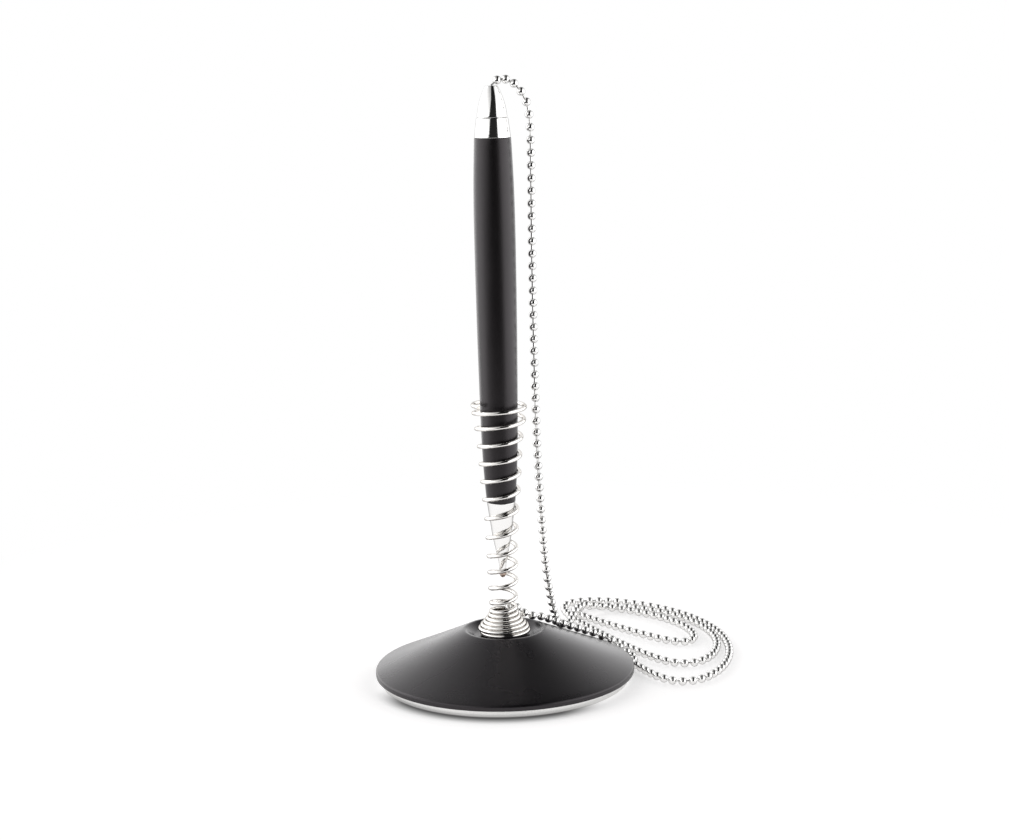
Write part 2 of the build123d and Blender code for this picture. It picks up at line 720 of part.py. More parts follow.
pieces = {
    "base_shell": base_shell,
    "base_plate": base_plate,
    "ballast_disc": ballast_disc,
    "foot_pad": foot_pad,
    "plate_screws": plate_screws,
    "clamp_washer": clamp_washer,
    "clamp_screw": clamp_screw,
    "clamp_nut": clamp_nut,
    "holder_spring": holder_spring,
    "pen_barrel": pen_barrel,
    "nose_cone": nose_cone,
    "refill_tip": refill_tip,
    "writing_ball": writing_ball,
    "refill_tube": refill_tube,
    "ink": ink,
    "tail_collar": tail_collar,
    "tail_cone": tail_cone,
    "chain_pen_end": chain_pen_end,
    "chain_drop": chain_drop,
    "chain_lead": chain_lead,
    "chain_loops": chain_loops,
    "chain_return": chain_return,
    "chain_base_end": chain_base_end,
}
for name, piece in pieces.items():
    piece.part.label = name
    export_step(piece.part, f"parts/{name}.step")
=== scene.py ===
"""Looks of the counter pen: black dome base, wire spring, pen and ball chain.

Sizes of the pieces are written in millimetres and become metres when a mesh is made.
"""

import math

import bmesh
import bpy
from mathutils import Euler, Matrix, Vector


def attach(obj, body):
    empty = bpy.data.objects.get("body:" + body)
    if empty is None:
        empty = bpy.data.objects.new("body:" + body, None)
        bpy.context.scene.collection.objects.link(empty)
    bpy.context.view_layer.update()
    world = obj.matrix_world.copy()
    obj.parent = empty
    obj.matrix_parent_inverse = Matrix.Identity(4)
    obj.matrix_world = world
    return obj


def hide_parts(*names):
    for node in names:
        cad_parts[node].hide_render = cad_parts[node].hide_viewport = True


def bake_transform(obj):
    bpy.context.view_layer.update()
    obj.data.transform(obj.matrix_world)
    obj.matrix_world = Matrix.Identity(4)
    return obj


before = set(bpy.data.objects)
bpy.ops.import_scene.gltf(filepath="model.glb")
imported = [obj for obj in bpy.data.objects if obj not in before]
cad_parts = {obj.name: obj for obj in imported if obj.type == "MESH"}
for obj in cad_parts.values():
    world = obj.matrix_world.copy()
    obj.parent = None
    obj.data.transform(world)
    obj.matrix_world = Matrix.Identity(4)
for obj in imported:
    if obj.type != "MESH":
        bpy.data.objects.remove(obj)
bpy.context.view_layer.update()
MM = 0.001
ON_AXIS = 1e-4


# Small tools for pieces and turned outlines


def add_piece(name, data):
    """An object in the scene with this mesh, lamp or camera."""
    piece = bpy.data.objects.new(name, data)
    bpy.context.scene.collection.objects.link(piece)
    return piece


def bow(start, end, bulge, steps):
    """Points of an arc that stands out from its chord by a bulge, to the right of its direction."""
    run = math.dist(start, end)
    across = ((end[1] - start[1]) / run, (start[0] - end[0]) / run)
    points = []
    for i in range(steps + 1):
        t = i / steps
        out = 4 * bulge * t * (1 - t)
        r = start[0] + (end[0] - start[0]) * t + across[0] * out
        z = start[1] + (end[1] - start[1]) * t + across[1] * out
        points.append((r, z))
    return points


def eased(outline, steps=6):
    """An outline whose corners with a third number are rounded to that radius."""
    points = []
    count = len(outline)
    for i, corner in enumerate(outline):
        if len(corner) < 3:
            points.append(corner)
            continue
        here = Vector(corner[:2])
        back = (Vector(outline[i - 1][:2]) - here).normalized()
        ahead = (Vector(outline[(i + 1) % count][:2]) - here).normalized()
        half = back.angle(ahead) / 2
        reach = corner[2] / math.tan(half)
        centre = here + (back + ahead).normalized() * (corner[2] / math.sin(half))
        first, last = here + back * reach - centre, here + ahead * reach - centre
        turn = first.angle_signed(last)
        for k in range(steps + 1):
            angle = -turn * k / steps
            c, s = math.cos(angle), math.sin(angle)
            points.append((centre.x + first.x * c - first.y * s, centre.y + first.x * s + first.y * c))
    return points


def turned(name, outline, sides, sharp=32):
    """A solid of revolution about Z from a closed outline of (radius, height) points."""
    shape = bmesh.new()
    rings = []
    for r, z in outline:
        if r < ON_AXIS:
            rings.append([shape.verts.new((0, 0, z * MM))] * sides)
            continue
        ring = []
        for k in range(sides):
            a = 2 * math.pi * k / sides
            ring.append(shape.verts.new((r * MM * math.cos(a), r * MM * math.sin(a), z * MM)))
        rings.append(ring)
    for low, high in zip(rings, rings[1:] + rings[:1]):
        for k in range(sides):
            corners = [low[k], low[k - 1], high[k - 1], high[k]]
            corners = [v for j, v in enumerate(corners) if v is not corners[j - 1]]
            if len(corners) > 2:
                shape.faces.new(corners)
    bmesh.ops.recalc_face_normals(shape, faces=shape.faces)
    mesh = bpy.data.meshes.new(name)
    shape.to_mesh(mesh)
    shape.free()
    mesh.shade_smooth()
    mesh.set_sharp_from_angle(angle=math.radians(sharp))
    return add_piece(name, mesh)


def between(value, stations):
    """Straight-line interpolation in a list of (position, value) pairs."""
    for (a, low), (b, high) in zip(stations, stations[1:]):
        if value <= b:
            return low + (high - low) * max(value - a, 0) / (b - a)
    return stations[-1][1]


# Shader effects shared by several finishes


def effect(name, inputs, outputs):
    """An empty shader node group with float inputs and outputs, and its two end nodes."""
    group = bpy.data.node_groups.new(name, "ShaderNodeTree")
    for label, value in inputs.items():
        socket = group.interface.new_socket(label, in_out="INPUT", socket_type="NodeSocketFloat")
        socket.default_value = value
    for label in outputs:
        group.interface.new_socket(label, in_out="OUTPUT", socket_type="NodeSocketFloat")
    start = group.nodes.new("NodeGroupInput")
    end = group.nodes.new("NodeGroupOutput")
    return group, start, end


def add_node(tree, kind, wires=None, **settings):
    """A node with its settings, wired by input name from sockets or plain values."""
    made = tree.nodes.new(kind)
    for key, value in settings.items():
        setattr(made, key, value)
    for key, value in (wires or {}).items():
        socket = made.inputs[key]
        if isinstance(value, bpy.types.NodeSocket):
            tree.links.new(value, socket)
        else:
            socket.default_value = value
    return made


def calculate(tree, operation, first, second):
    """Result of one operation on two sockets or numbers."""
    return add_node(tree, "ShaderNodeMath", {0: first, 1: second}, operation=operation).outputs[0]


def ranged(tree, value, start, end, low, high, kind="LINEAR"):
    """A value that goes from low to high as another goes from start to end."""
    reach = {"Value": value, "From Min": start, "From Max": end, "To Min": low, "To Max": high}
    return add_node(tree, "ShaderNodeMapRange", reach, interpolation_type=kind).outputs["Result"]


def stepped(tree, value, stations):
    """Straight-line interpolation in a list of stations: one range for each step, added up."""
    total = stations[0][1]
    for (start, low), (end, high) in zip(stations, stations[1:]):
        total = calculate(tree, "ADD", total, ranged(tree, value, start, end, 0.0, high - low))
    return total


def mix_colour(tree, factor, first, second):
    """Colour that goes from the first to the second with a factor."""
    mix = tree.nodes.new("ShaderNodeMix")
    mix.data_type = "RGBA"
    tree.links.new(factor, mix.inputs[0])
    mix.inputs[6].default_value = (*first, 1.0)
    mix.inputs[7].default_value = (*second, 1.0)
    return mix.outputs[2]


def make_moulded_grain():
    """Fine pebble of moulded or lacquered plastic: a height for a bump, and a mask of its peaks."""
    group, start, end = effect("moulded_grain", {"Scale": 2500.0}, ["Height", "Peaks"])
    place = add_node(group, "ShaderNodeTexCoord")
    pebble = add_node(
        group,
        "ShaderNodeTexNoise",
        {
            "Vector": place.outputs["Object"],
            "Scale": start.outputs["Scale"],
            "Detail": 3.0,
            "Roughness": 0.5,
        },
    )
    peaks = ranged(group, pebble.outputs["Fac"], 0.38, 0.62, 0.0, 1.0)
    group.links.new(pebble.outputs["Fac"], end.inputs["Height"])
    group.links.new(peaks, end.inputs["Peaks"])
    return group


def make_handling_marks():
    """Broad soft smears from fingers: a value round its middle that shifts a finish's roughness."""
    group, start, end = effect("handling_marks", {"Scale": 60.0, "Low": 0.3, "High": 0.4}, ["Roughness"])
    place = add_node(group, "ShaderNodeTexCoord")
    smear = add_node(
        group,
        "ShaderNodeTexNoise",
        {
            "Vector": place.outputs["Object"],
            "Scale": start.outputs["Scale"],
            "Detail": 4.0,
            "Distortion": 0.8,
        },
    )
    spread = ranged(group, smear.outputs["Fac"], 0.3, 0.7, start.outputs["Low"], start.outputs["High"])
    group.links.new(spread, end.inputs["Roughness"])
    return group


def make_turning_lines():
    """Fine rings left by a lathe, by height and by radius: a height for a bump."""
    group, start, end = effect("turning_lines", {"Scale": 900.0}, ["Height"])
    place = add_node(group, "ShaderNodeTexCoord")
    parts = add_node(group, "ShaderNodeSeparateXYZ", {"Vector": place.outputs["Object"]})
    flat = add_node(
        group, "ShaderNodeCombineXYZ", {"X": parts.outputs["X"], "Y": parts.outputs["Y"], "Z": 0.0}
    )
    radius = add_node(group, "ShaderNodeVectorMath", {0: flat.outputs["Vector"]}, operation="LENGTH")
    travel = calculate(group, "ADD", radius.outputs["Value"], parts.outputs["Z"])
    rings = add_node(
        group,
        "ShaderNodeTexNoise",
        {"W": travel, "Scale": start.outputs["Scale"], "Detail": 2.0},
        noise_dimensions="1D",
    )
    group.links.new(rings.outputs["Fac"], end.inputs["Height"])
    return group


moulded_grain = make_moulded_grain()
handling_marks = make_handling_marks()
turning_lines = make_turning_lines()
BUMP_DEPTH = 0.0002


def finish(
    name,
    colour,
    roughness,
    metallic=0,
    grain=None,
    marks=None,
    lines=None,
    flecks=0,
    tint=None,
    painted_edge_shade=None,
):
    """A finish with its fine effects.

    Grain and lines are (scale, bump), marks is (scale, low, high) of the roughness, flecks is how much
    paler the grain's peaks are, tint colours the shine and rim is (colour, start, end) by the slant: a
    painted shade that darkens the colour where the surface slants away from the view.
    """
    material = bpy.data.materials.new(name)
    material.use_nodes = True
    material.diffuse_color = (*colour, 1.0)
    tree = material.node_tree
    surface = tree.nodes["Principled BSDF"]
    surface.inputs["Base Color"].default_value = (*colour, 1.0)
    surface.inputs["Roughness"].default_value = roughness
    surface.inputs["Metallic"].default_value = metallic
    if tint:
        surface.inputs["Specular Tint"].default_value = (*tint, 1.0)
    if marks:
        smears = add_node(
            tree,
            "ShaderNodeGroup",
            {"Scale": marks[0], "Low": marks[1], "High": marks[2]},
            node_tree=handling_marks,
        )
        tree.links.new(smears.outputs["Roughness"], surface.inputs["Roughness"])
    # Painted shade: the colour goes to a darker one where the surface slants away from the view
    if painted_edge_shade:
        slant = tree.nodes.new("ShaderNodeLayerWeight")
        share = ranged(tree, slant.outputs["Facing"], painted_edge_shade[1], painted_edge_shade[2], 0.0, 1.0)
        tree.links.new(mix_colour(tree, share, colour, painted_edge_shade[0]), surface.inputs["Base Color"])
    heights = []
    if grain:
        pebble = add_node(tree, "ShaderNodeGroup", {"Scale": grain[0]}, node_tree=moulded_grain)
        heights.append((pebble.outputs["Height"], grain[1]))
        if flecks:
            paler = [min(1.0, c * (1 + flecks) + 0.001) for c in colour]
            speckled = mix_colour(tree, pebble.outputs["Peaks"], colour, paler)
            tree.links.new(speckled, surface.inputs["Base Color"])
    if lines:
        rings = add_node(tree, "ShaderNodeGroup", {"Scale": lines[0]}, node_tree=turning_lines)
        heights.append((rings.outputs["Height"], lines[1]))
    below = None
    for height, strength in heights:
        bump = add_node(
            tree, "ShaderNodeBump", {"Height": height, "Strength": strength, "Distance": BUMP_DEPTH}
        )
        if below:
            tree.links.new(below, bump.inputs["Normal"])
        below = bump.outputs["Normal"]
    if below:
        tree.links.new(below, surface.inputs["Normal"])
    return material


satin_black = finish(
    "satin_black_base",
    (0.0032, 0.0028, 0.0036),
    0.28,
    grain=(2600.0, 0.08),
    marks=(45.0, 0.25, 0.31),
    flecks=0.25,
    tint=(1.0, 0.93, 0.98),
)
lacquer_black = finish(
    "lacquer_black_barrel",
    (0.0034, 0.0027, 0.0031),
    0.36,
    grain=(3800.0, 0.07),
    marks=(70.0, 0.33, 0.39),
    flecks=0.3,
    tint=(1.0, 0.93, 0.97),
)
# Painted shade: the three chromes below darken at their slanting edges through their rim colours
pen_chrome = finish(
    "pen_chrome",
    (0.9, 0.895, 0.885),
    0.08,
    metallic=1.0,
    marks=(90.0, 0.05, 0.11),
    lines=(2600.0, 0.04),
    tint=(0.35, 0.35, 0.35),
    painted_edge_shade=((0.4, 0.4, 0.4), 0.7, 0.95),
)
spring_chrome = finish(
    "spring_chrome",
    (0.88, 0.86, 0.835),
    0.06,
    metallic=1.0,
    marks=(400.0, 0.04, 0.1),
    tint=(0.4, 0.39, 0.38),
    painted_edge_shade=((0.24, 0.23, 0.22), 0.75, 0.97),
)
chain_chrome = finish(
    "chain_chrome",
    (0.86, 0.855, 0.845),
    0.05,
    metallic=1.0,
    marks=(900.0, 0.03, 0.09),
    tint=(0.2, 0.2, 0.2),
    painted_edge_shade=((0.1, 0.1, 0.1), 0.56, 0.86),
)
plate_steel = finish(
    "plate_steel",
    (0.75, 0.745, 0.735),
    0.22,
    metallic=1.0,
    marks=(50.0, 0.18, 0.3),
    lines=(2200.0, 0.15),
)
fastener_steel = finish(
    "fastener_steel", (0.62, 0.62, 0.61), 0.3, metallic=1.0, marks=(300.0, 0.24, 0.4), lines=(4000.0, 0.12)
)
ballast_iron = finish(
    "ballast_iron", (0.16, 0.16, 0.165), 0.6, metallic=1.0, grain=(900.0, 0.5), flecks=0.6
)
pad_rubber = finish("pad_rubber", (0.03, 0.03, 0.031), 0.85, grain=(1500.0, 0.5), flecks=0.5)
clamp_steel = finish(
    "clamp_steel_aged",
    (0.2, 0.165, 0.13),
    0.35,
    metallic=1.0,
    marks=(300.0, 0.28, 0.45),
    lines=(4000.0, 0.12),
)
tip_brass = finish(
    "tip_brass", (0.42, 0.33, 0.28), 0.22, metallic=1.0, marks=(600.0, 0.16, 0.3), lines=(5000.0, 0.1)
)
ball_steel = finish("ball_steel", (0.5, 0.5, 0.5), 0.12, metallic=1.0, marks=(2000.0, 0.08, 0.2))
refill_plastic = finish(
    "refill_plastic", (0.8, 0.8, 0.77), 0.3, grain=(700.0, 0.1), marks=(80.0, 0.25, 0.4)
)
ink_blue = finish("ink_blue", (0.01, 0.012, 0.08), 0.2, grain=(500.0, 0.1), marks=(60.0, 0.15, 0.3))

# CAD nodes that show as they are only take a finish
for node, material in {
    "ballast_disc": ballast_iron,
    "foot_pad": pad_rubber,
    "plate_screws": fastener_steel,
    "clamp_washer": clamp_steel,
    "clamp_screw": clamp_steel,
    "clamp_nut": fastener_steel,
    "writing_ball": ball_steel,
    "refill_tube": refill_plastic,
    "ink": ink_blue,
    "chain_pen_end": chain_chrome,
}.items():
    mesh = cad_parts[node].data
    mesh.materials.clear()
    mesh.materials.append(material)


def dress(piece, material, body, *nodes, slot):
    """Give a rigid piece its finish and its body, and hide the CAD nodes that it stands for."""
    piece.data.materials.append(material)
    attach(piece, body)
    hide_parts(*nodes)


# Base: hollow dome with a dish for the spring, and the bright plate that closes it
dome_outline = eased(
    [(36.2, 2.3), (37.5, 2.7, 0.25), (37.5, 4.2, 0.8)]
    + bow((37.5, 4.2), (11.4, 15.6), -0.1, 10)[1:-1]
    + [(11.4, 15.6, 1.3), (8.7, 13.7, 0.4), (1.6, 13.7), (1.6, 11.7), (14.7, 11.7)]
    + [(33.0, 3.9), (33.0, 2.3)],
    10,
)
dress(turned("base_dome", dome_outline, 256), satin_black, "base", "base_shell", slot="base_black")

plate_outline = eased(
    [(30.1, 0.3, 0.15), (35.9, 0.3, 0.35), (35.9, 2.3, 0.1), (32.9, 2.3), (32.9, 3.1)]
    + [(31.3, 3.1), (31.3, 2.3), (0.0, 2.3), (0.0, 1.0), (30.1, 1.0)],
    4,
)
dress(turned("base_rim_plate", plate_outline, 256), plate_steel, "base", "base_plate", slot="plate_steel")

# Pen: barrel, nose, writing tip, collar and tail cone. The barrel has its radii at four heights
BARREL_FOOT, FOOT_RADIUS = 53.0, 4.1
GRIP_TOP, GRIP_RADIUS = 74.4, 5.25
WIDEST, WIDEST_RADIUS = 130.4, 5.8
BARREL_TOP, TOP_RADIUS = 156.4, 5.15
GRIP_SLOPE = 0.0196


def barrel_radius(z):
    """Radius of the barrel at a height: a grip that bends in to its foot, and a long swell above it."""
    if z < GRIP_TOP:
        grip = GRIP_TOP - BARREL_FOOT
        bend = (GRIP_RADIUS - FOOT_RADIUS - GRIP_SLOPE * grip) / grip**2
        return GRIP_RADIUS - GRIP_SLOPE * (GRIP_TOP - z) - bend * (GRIP_TOP - z) ** 2
    if z < WIDEST:
        return WIDEST_RADIUS - (WIDEST_RADIUS - GRIP_RADIUS) * ((WIDEST - z) / (WIDEST - GRIP_TOP)) ** 2
    return WIDEST_RADIUS - (WIDEST_RADIUS - TOP_RADIUS) * ((z - WIDEST) / (BARREL_TOP - WIDEST)) ** 2


barrel_heights = [*range(56, 75, 3), *range(77, 131, 4), *range(133, 155, 3)]
barrel_outline = eased(
    [(3.0, 53.05), (FOOT_RADIUS, 53.05, 0.12)]
    + [(barrel_radius(z), z) for z in barrel_heights]
    + [(TOP_RADIUS, 156.35, 0.15), (4.0, 156.35), (4.0, 83.4), (3.0, 80.4)]
)
dress(turned("pen_body", barrel_outline, 144), lacquer_black, "pen", "pen_barrel", slot="barrel_black")

nose_outline = eased(
    [(0.8, 32.6), (0.95, 32.6, 0.05), (1.05, 34.6, 12.0), (2.75, 43.0, 30.0), (4.08, 53.0, 0.1)]
    + [(2.95, 53.0), (2.95, 63.0), (1.6, 63.0), (1.6, 40.0), (1.3, 40.0), (1.3, 37.9), (0.8, 35.9)],
    8,
)
dress(turned("pen_nose", nose_outline, 128), pen_chrome, "pen", "nose_cone", slot="pen_chrome")

point_outline = eased(
    [(0.42, 30.76), (0.6, 30.76, 0.1), (0.93, 31.4, 0.4), (0.93, 32.5, 0.15), (0.7, 32.55), (0.7, 36.0)]
    + [(1.2, 38.0), (1.2, 40.0), (1.08, 40.0), (1.08, 45.5), (0.35, 45.5), (0.35, 31.5)],
    8,
)
dress(turned("refill_point", point_outline, 96), tip_brass, "pen", "refill_tip", slot="tip_brass")

collar_outline = eased(
    [(0.0, 146.4), (3.95, 146.4), (3.95, 156.4), (5.13, 156.4, 0.12), (4.45, 161.85, 0.22), (2.7, 161.85)]
    + [(2.7, 148.0), (0.0, 148.0)]
)
dress(turned("pen_collar", collar_outline, 128), pen_chrome, "pen", "tail_collar", slot="pen_chrome")

tail_outline = eased(
    [(1.5, 156.9), (2.65, 156.9), (2.65, 161.9), (4.25, 161.9, 0.2)]
    + bow((4.25, 161.9), (1.7, 170.6), 0.5, 8)[1:-1]
    + [(1.7, 170.6, 0.4), (0.6, 170.6, 0.1), (0.6, 169.0), (1.5, 168.1)],
    8,
)
dress(turned("pen_tail", tail_outline, 128), pen_chrome, "pen", "tail_cone", slot="pen_chrome")

# Spring: one wire wound from the clamp ring through the close cone to the open turns round the pen
WIRE = 1.2
DISH_FLOOR = 13.75
SPRING_TURNS = 20.36
SPRING_STEPS = 970
spring_heights = [
    (0.0, DISH_FLOOR + 0.6),
    (1.0, DISH_FLOOR + 0.65),
    (1.5, 14.7),
    (2.5, 15.89),
    (3.5, 16.85),
    (4.5, 17.75),
    (5.5, 18.7),
    (6.5, 19.8),
    (7.5, 20.97),
    (8.5, 23.8),
    (11.5, 38.1),
    (14.5, 55.0),
    (18.5, 75.7),
    (19.5, 80.05),
    (20.38, 81.45),
]
spring_radii = [
    (0.0, 4.0),
    (0.5, 4.0),
    (1.5, 7.15),
    (2.5, 6.9),
    (3.5, 6.1),
    (4.5, 5.3),
    (5.5, 4.5),
    (6.5, 3.85),
    (7.5, 3.5),
    (8.5, 3.6),
    (9.5, 3.8),
    (11.5, 4.0),
    (12.5, 4.2),
    (13.5, 4.45),
    (14.5, 4.98),
    (15.5, 5.35),
    (16.5, 5.68),
    (17.5, 6.05),
    (18.25, 6.6),
    (18.75, 7.1),
    (19.25, 7.3),
    (20.38, 7.5),
]


def spring_place(turn):
    """Centre of the wire after so many turns, smoothed over a third of a turn.

    The half turns face the camera.
    """
    spread = [turn + k / 12 for k in range(-2, 3)]
    radius = sum(between(t, spring_radii) for t in spread) / len(spread)
    height = sum(between(t, spring_heights) for t in spread) / len(spread)
    angle = math.radians(90) + 2 * math.pi * turn
    return Vector((radius * math.cos(angle), radius * math.sin(angle), height)) * MM


def curve_mesh(name, points, kind, thickness=0.0):
    """Mesh of a curve: a bare line, or a round tube where a thickness is given."""
    curve = bpy.data.curves.new(name + "_line", "CURVE")
    curve.dimensions = "3D"
    curve.resolution_u = 12
    spline = curve.splines.new(kind)
    spline.points.add(len(points) - 1)
    for dot, place in zip(spline.points, points):
        dot.co = (*place, 1.0)
    if kind == "NURBS":
        spline.order_u = 3
        spline.use_endpoint_u = True
    if thickness:
        curve.bevel_depth = thickness * MM / 2
        curve.bevel_resolution = 5
        curve.use_fill_caps = True
    holder = add_piece(name + "_line", curve)
    bpy.context.view_layer.update()
    mesh = bpy.data.meshes.new_from_object(holder.evaluated_get(bpy.context.evaluated_depsgraph_get()))
    bpy.data.objects.remove(holder)
    bpy.data.curves.remove(curve)
    return mesh


def wire_tube(name, points, thickness):
    """A piece that is a round wire along points."""
    mesh = curve_mesh(name, points, "POLY", thickness)
    mesh.name = name
    mesh.shade_smooth()
    mesh.set_sharp_from_angle(angle=math.radians(50))
    return add_piece(name, mesh)


spring_line = [spring_place(SPRING_TURNS * i / SPRING_STEPS) for i in range(SPRING_STEPS + 1)]
spring = wire_tube("spring_wire", spring_line, WIRE)
spring.data.materials.append(spring_chrome)
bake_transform(spring)
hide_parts("holder_spring")


# Ball chain: beads strung along each stretch's smooth line, with thin links between them.
# A hole takes a share of the half turn of the bead's outline, and has a lip that is drawn in
BEAD = 2.4
LINK_RADIUS = 0.28
BEAD_HOLE = 0.07
LIP_DEPTH = 0.1
LIP_SHARE = 0.8


def smooth_line(name, route):
    """Points of the smooth curve that a route's points control."""
    mesh = curve_mesh(name, [Vector(place) * MM for place in route], "NURBS")
    points = [v.co.copy() for v in mesh.vertices]
    bpy.data.meshes.remove(mesh)
    return points


def strung(line, pitch, first=0.5, last=0.5):
    """Length of a line, and the places of beads along it.

    The pitch is a list of (share of the length, pitch). First and last are the shares of a pitch that
    are left before the first bead and after the last one.
    """
    runs = [(b - a).length for a, b in zip(line, line[1:])]
    total = sum(runs)
    spots = [first * pitch[0][1] * MM]
    step = pitch[0][1] * MM
    while spots[-1] + (1 + last) * step < total + step / 2:
        spots.append(spots[-1] + step)
        step = between(spots[-1] / total, pitch) * MM
    stretch = total / (spots[-1] + last * step)
    places = []
    index, passed = 0, 0.0
    for spot in spots:
        want = spot * stretch
        while passed + runs[index] < want and index < len(runs) - 1:
            passed += runs[index]
            index += 1
        places.append(line[index].lerp(line[index + 1], min((want - passed) / runs[index], 1.0)))
    return total, places


def bead_mesh():
    """One bead, a little drawn in at the two holes that its links go through."""
    steps = 12
    outline = []
    for k in range(steps + 1):
        a = math.pi * (BEAD_HOLE + (1 - 2 * BEAD_HOLE) * k / steps)
        outline.append((BEAD / 2 * math.sin(a), -BEAD / 2 * math.cos(a)))
    neck = outline[0][0] * LIP_SHARE
    outline = [(neck, outline[0][1] + LIP_DEPTH)] + outline + [(neck, outline[-1][1] - LIP_DEPTH)]
    bead = turned("chain_bead", outline, 20, 40)
    mesh = bead.data
    mesh.materials.append(chain_chrome)
    bpy.data.objects.remove(bead)
    return mesh


def chain_builder(bead):
    """Geometry nodes that thread beads on the marked points of a line, with thin links between them."""
    tree = bpy.data.node_groups.new("bead_threading", "GeometryNodeTree")
    tree.interface.new_socket("Line", in_out="INPUT", socket_type="NodeSocketGeometry")
    tree.interface.new_socket("Chain", in_out="OUTPUT", socket_type="NodeSocketGeometry")
    start = tree.nodes.new("NodeGroupInput")
    end = tree.nodes.new("NodeGroupOutput")
    curve = add_node(tree, "GeometryNodeMeshToCurve", {"Mesh": start.outputs["Line"]})
    dots = add_node(tree, "GeometryNodeCurveToPoints", {"Curve": curve.outputs["Curve"]}, mode="EVALUATED")
    mark = add_node(tree, "GeometryNodeInputNamedAttribute", {"Name": "bead"}, data_type="FLOAT")
    chosen = add_node(tree, "FunctionNodeCompare", {0: mark.outputs[0], 1: 0.5}, operation="GREATER_THAN")
    shape = add_node(tree, "GeometryNodeObjectInfo")
    shape.inputs["Object"].default_value = bead
    beads = add_node(
        tree,
        "GeometryNodeInstanceOnPoints",
        {
            "Points": dots.outputs["Points"],
            "Selection": chosen.outputs[0],
            "Instance": shape.outputs["Geometry"],
            "Rotation": dots.outputs["Rotation"],
        },
    )
    ring = add_node(tree, "GeometryNodeCurvePrimitiveCircle", {"Resolution": 8, "Radius": LINK_RADIUS * MM})
    links = add_node(
        tree,
        "GeometryNodeCurveToMesh",
        {"Curve": curve.outputs["Curve"], "Profile Curve": ring.outputs["Curve"]},
    )
    bright = add_node(
        tree, "GeometryNodeSetMaterial", {"Geometry": links.outputs["Mesh"], "Material": chain_chrome}
    )
    smooth = add_node(tree, "GeometryNodeSetShadeSmooth", {"Geometry": bright.outputs["Geometry"]})
    join = tree.nodes.new("GeometryNodeJoinGeometry")
    tree.links.new(smooth.outputs[0], join.inputs[0])
    tree.links.new(beads.outputs["Instances"], join.inputs[0])
    solid = add_node(tree, "GeometryNodeRealizeInstances", {"Geometry": join.outputs["Geometry"]})
    tree.links.new(solid.outputs["Geometry"], end.inputs["Chain"])
    return tree


def thread(name, route, pitch, tree, first=0.5, last=0.5):
    """A stretch of chain: a line of bead centres with its two ends, dressed by the threading nodes."""
    line = smooth_line(name, route)
    total, places = strung(line, pitch, first, last)
    dots = [line[0], *places, line[-1]]
    mesh = bpy.data.meshes.new(name)
    mesh.from_pydata(dots, [(k, k + 1) for k in range(len(dots) - 1)], [])
    marks = mesh.attributes.new("bead", "FLOAT", "POINT")
    marks.data.foreach_set("value", [0.0] + [1.0] * len(places) + [0.0])
    mesh.materials.append(chain_chrome)
    piece = add_piece(name, mesh)
    maker = piece.modifiers.new("bead_threading", "NODES")
    maker.node_group = tree
    return piece, line, total


# Each loop: centre x, centre y, half length, half width, direction of its far end in degrees
LOOPS = [
    (43.5, 49.9, 24.4, 7.8, 128.6),
    (43.1, 41.3, 36.3, 16.3, 119.2),
    (44.0, 36.9, 48.0, 18.0, 107.5),
]
# Where the loops start and end, how egg-shaped they are, and the straight runs that lead on from a join
FIRST_TURN = 0.2
LAST_TURN = 2.655
LOOP_EGG = 0.25
LOOP_STEPS = 44
LOOP_RUN = 3.8
DROP_RUN = 12.0


def loop_place(turn):
    """Centre of the chain on the table after so many loops, each one larger than the last."""
    place = turn - 0.5
    first = min(max(int(place), 0), 1)
    share = place - first
    x, y, length, width, lean = [a + (b - a) * share for a, b in zip(LOOPS[first], LOOPS[first + 1])]
    angle = 2 * math.pi * turn
    ahead = length * math.cos(angle)
    across = width * (math.sin(angle) - LOOP_EGG * math.cos(2 * angle))
    c, s = math.cos(math.radians(lean)), math.sin(math.radians(lean))
    return Vector((x + ahead * c + across * s, y + ahead * s - across * c, BEAD / 2))


def loop_way(turn):
    """Direction of the chain along a loop."""
    step = 0.002
    return (loop_place(turn + step) - loop_place(turn - step)).normalized()


loop_in = loop_place(FIRST_TURN) - loop_way(FIRST_TURN) * BEAD
loop_out = loop_place(LAST_TURN) + loop_way(LAST_TURN) * BEAD
drop_route = [
    (0, 0, 170.7),
    (0.7, 0.2, 171.8),
    (2.1, 0.7, 172.2),
    (3.7, 0.9, 172.4),
    (6.2, 1.0, 171.3),
    (8.3, 1.0, 168.7),
    (9.9, 1.0, 165.5),
    (10.4, 1.0, 161.2),
    (10.6, 1.0, 154.8),
    (10.4, 1.1, 137),
    (10.3, 1.4, 123),
    (10.3, 2.0, 102),
    (10.45, 3.0, 81),
    (10.8, 4.6, 61),
    (11.7, 7.0, 44),
]
drop_way = (Vector(drop_route[-1]) - Vector(drop_route[-2])).normalized()
lead_route = [
    drop_route[-1],
    Vector(drop_route[-1]) + drop_way * DROP_RUN,
    (14.0, 14.5, 19.5),
    (15.6, 20.0, 11.6),
    (16.8, 27.5, 8.3),
    (18.0, 35.2, 5.4),
    (19.6, 42.6, 3.2),
    (21.3, 49.4, 3.3),
    (22.8, 55.0, 4.4),
    (24.4, 59.8, 4.4),
    (26.3, 63.6, 3.7),
    (29.7, 66.2, 2.4),
    (33.6, 67.2, 1.5),
    loop_in - loop_way(FIRST_TURN) * LOOP_RUN,
    loop_in,
]
loop_turns = [FIRST_TURN + (LAST_TURN - FIRST_TURN) * i / LOOP_STEPS for i in range(LOOP_STEPS + 1)]
loop_route = [loop_in, *[loop_place(turn) for turn in loop_turns], loop_out]
held_bead = (1.46, 1.22, 21.1)
